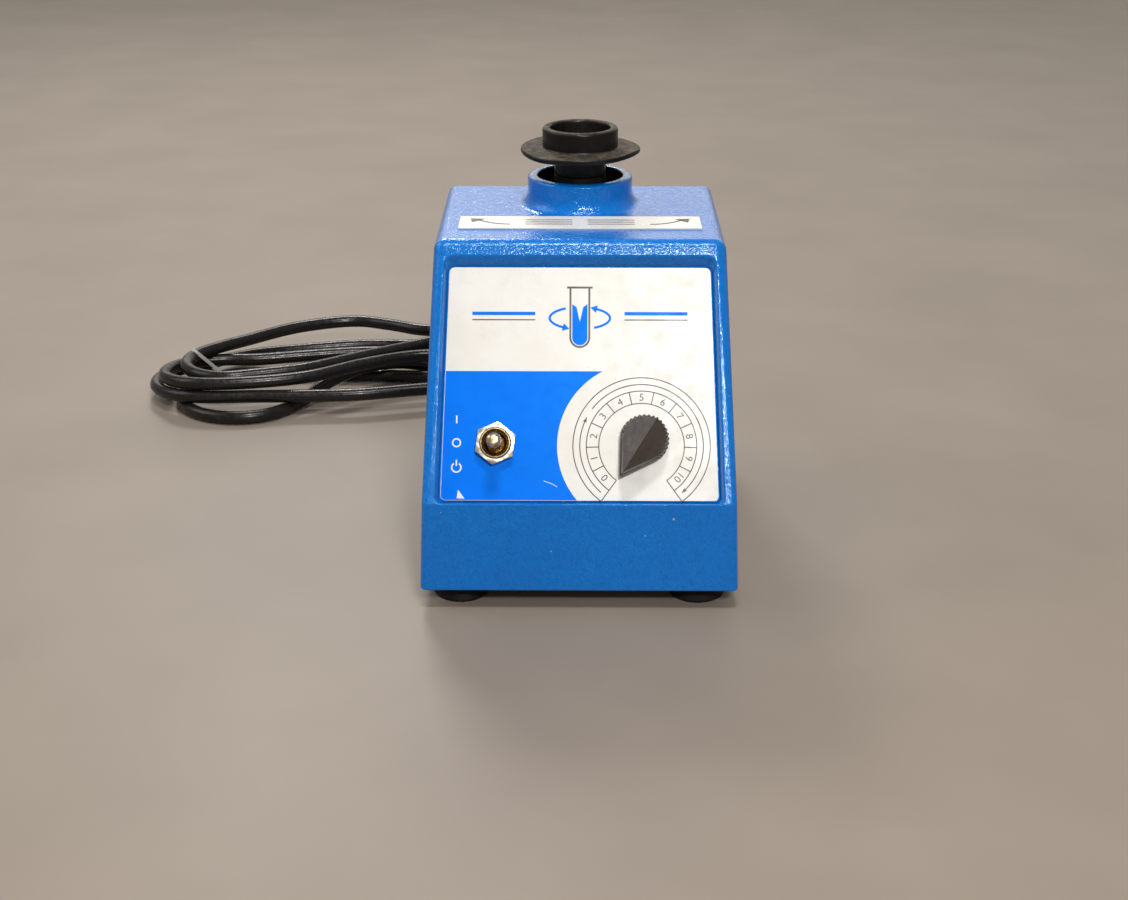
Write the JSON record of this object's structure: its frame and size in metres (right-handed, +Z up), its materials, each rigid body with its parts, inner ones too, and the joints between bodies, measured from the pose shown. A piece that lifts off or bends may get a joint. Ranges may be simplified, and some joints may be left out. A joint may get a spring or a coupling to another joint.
{
  "type": "bench vortex mixer",
  "caption": "Bench vortex mixer with a cast sloped housing, speed knob, toggle switch, orbiting rubber cup on a raised collar, rubber feet and a mains cord in a hank.",
  "frame": {"origin": "on the bench, under the middle of the housing's footprint", "axes": "+Z up, front panel towards -Y, +X to the right when facing the panel"},
  "size_m": [0.283, 0.3089, 0.165],
  "materials": {
    "housing_paint": "satin",
    "front_label": "satin",
    "top_label": "satin",
    "black_rubber": "matte",
    "knob_plastic": "satin",
    "nickel": "satin",
    "brass": "satin",
    "steel": "satin",
    "laminations": "satin",
    "copper": "satin",
    "aluminium": "satin",
    "board": "satin",
    "switch_plastic": "satin",
    "cord_rubber": "satin",
    "cord_bundle": "satin"
  },
  "bodies": {
    "base": {"housing_shell": "housing_paint", "collar": "housing_paint", "base_plate": "steel", "foot_front_left": "black_rubber", "foot_front_right": "black_rubber", "foot_rear_left": "black_rubber", "foot_rear_right": "black_rubber", "foot_screw_front_left": "nickel", "foot_screw_front_right": "nickel", "foot_screw_rear_left": "nickel", "foot_screw_rear_right": "nickel", "front_label": "front_label", "top_label": "top_label", "dust_ring": "black_rubber", "motor_stator": "laminations", "motor_coil": "copper", "motor_lower_bracket": "aluminium", "motor_upper_bracket": "aluminium", "motor_bolt_1": "steel", "motor_bolt_2": "steel", "motor_bolt_3": "steel", "motor_bolt_4": "steel", "lower_bearing": "steel", "upper_bearing": "steel", "touch_switch": "switch_plastic", "switch_bracket": "steel", "potentiometer": "steel", "control_nut": "nickel", "toggle_body": "switch_plastic", "toggle_bushing": "brass", "toggle_nut": "nickel", "control_board": "board", "board_rail_left": "aluminium", "board_rail_right": "aluminium", "heat_sink": "aluminium", "capacitor": "top_label", "strain_relief": "cord_rubber", "cord_tube": "cord_rubber", "cord_hank": "cord_bundle", "plug_body": "cord_rubber", "plug_blade_left": "brass", "plug_blade_right": "brass", "plug_earth_pin": "brass"},
    "press": {"push_pin": "steel"},
    "rotor": {"motor_shaft": "nickel", "rotor_core": "laminations", "cooling_fan": "switch_plastic", "eccentric_hub": "steel"},
    "head": {"head_bearing": "steel", "head_carrier": "aluminium", "neck_sleeve": "black_rubber", "rubber_cup": "black_rubber"},
    "knob": {"speed_knob": "knob_plastic", "control_shaft": "aluminium"},
    "toggle": {"toggle_lever": "nickel"},
    "touch": {"touch_lever": "nickel"}
  },
  "joints": [
    {"name": "cup_press", "type": "slide", "parent": "base", "child": "press", "axis": [0, 0, -1], "range_m": [0, 0.0015], "stiffness_N_per_m": 4000, "springref_m": -0.003},
    {"name": "motor_spin", "type": "hinge", "parent": "press", "child": "rotor", "pos_m": [0, 0.024, 0.09], "axis": [0, 0, 1], "continuous": true},
    {"name": "head_bearing_turn", "type": "hinge", "parent": "rotor", "child": "head", "pos_m": [0, 0.021, 0.12], "axis": [0, 0, 1], "continuous": true},
    {"name": "speed_knob_turn", "type": "hinge", "parent": "base", "child": "knob", "pos_m": [0.0245, -0.06916, 0.06567], "axis": [0, 0.887, -0.4617], "range_deg": [0, 288]},
    {"name": "toggle_tilt", "type": "hinge", "parent": "base", "child": "toggle", "pos_m": [-0.0318, -0.06457, 0.06149], "axis": [1, 0, 0], "range_deg": [-13, 13]},
    {"name": "touch_lever_tilt", "type": "hinge", "parent": "base", "child": "touch", "pos_m": [-0.014, 0.024, 0.0225], "axis": [0, 1, 0], "range_deg": [0, 6.2]}
  ],
  "couplings": [
    {"joint": "head_bearing_turn", "follows": "motor_spin", "ratio": -1},
    {"joint": "touch_lever_tilt", "follows": "cup_press", "rad_per_m": 71.4}
  ]
}
